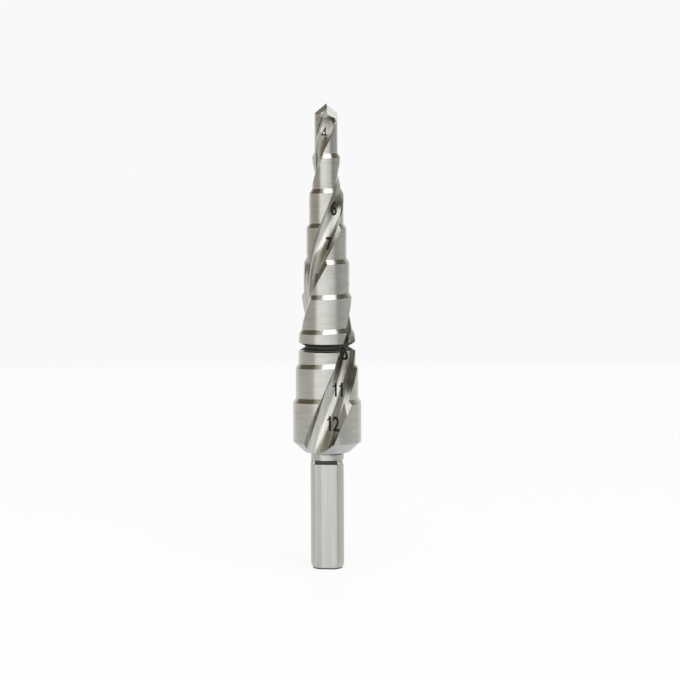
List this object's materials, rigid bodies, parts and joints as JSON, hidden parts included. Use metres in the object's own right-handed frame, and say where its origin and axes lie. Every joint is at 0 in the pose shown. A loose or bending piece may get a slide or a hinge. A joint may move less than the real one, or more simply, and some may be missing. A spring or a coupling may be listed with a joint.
{
  "type": "step drill bit",
  "caption": "Stepped drill bit with spiral flutes, a pointed pilot, a narrow neck and a straight shank with flats for a chuck.",
  "frame": {"origin": "centre of the end face of the shank, on the axis of the drill", "axes": "+Z along the axis from the end of the shank to the point, -Y towards the side with the size marks, +X to the right of that side"},
  "size_m": [0.012, 0.0118, 0.0818],
  "materials": {
    "ground_steel": "ground bright steel, with fine grinding lines round the lands and polished flutes"
  },
  "bodies": {
    "root": {"step_drill": "ground_steel"}
  },
  "joints": []
}
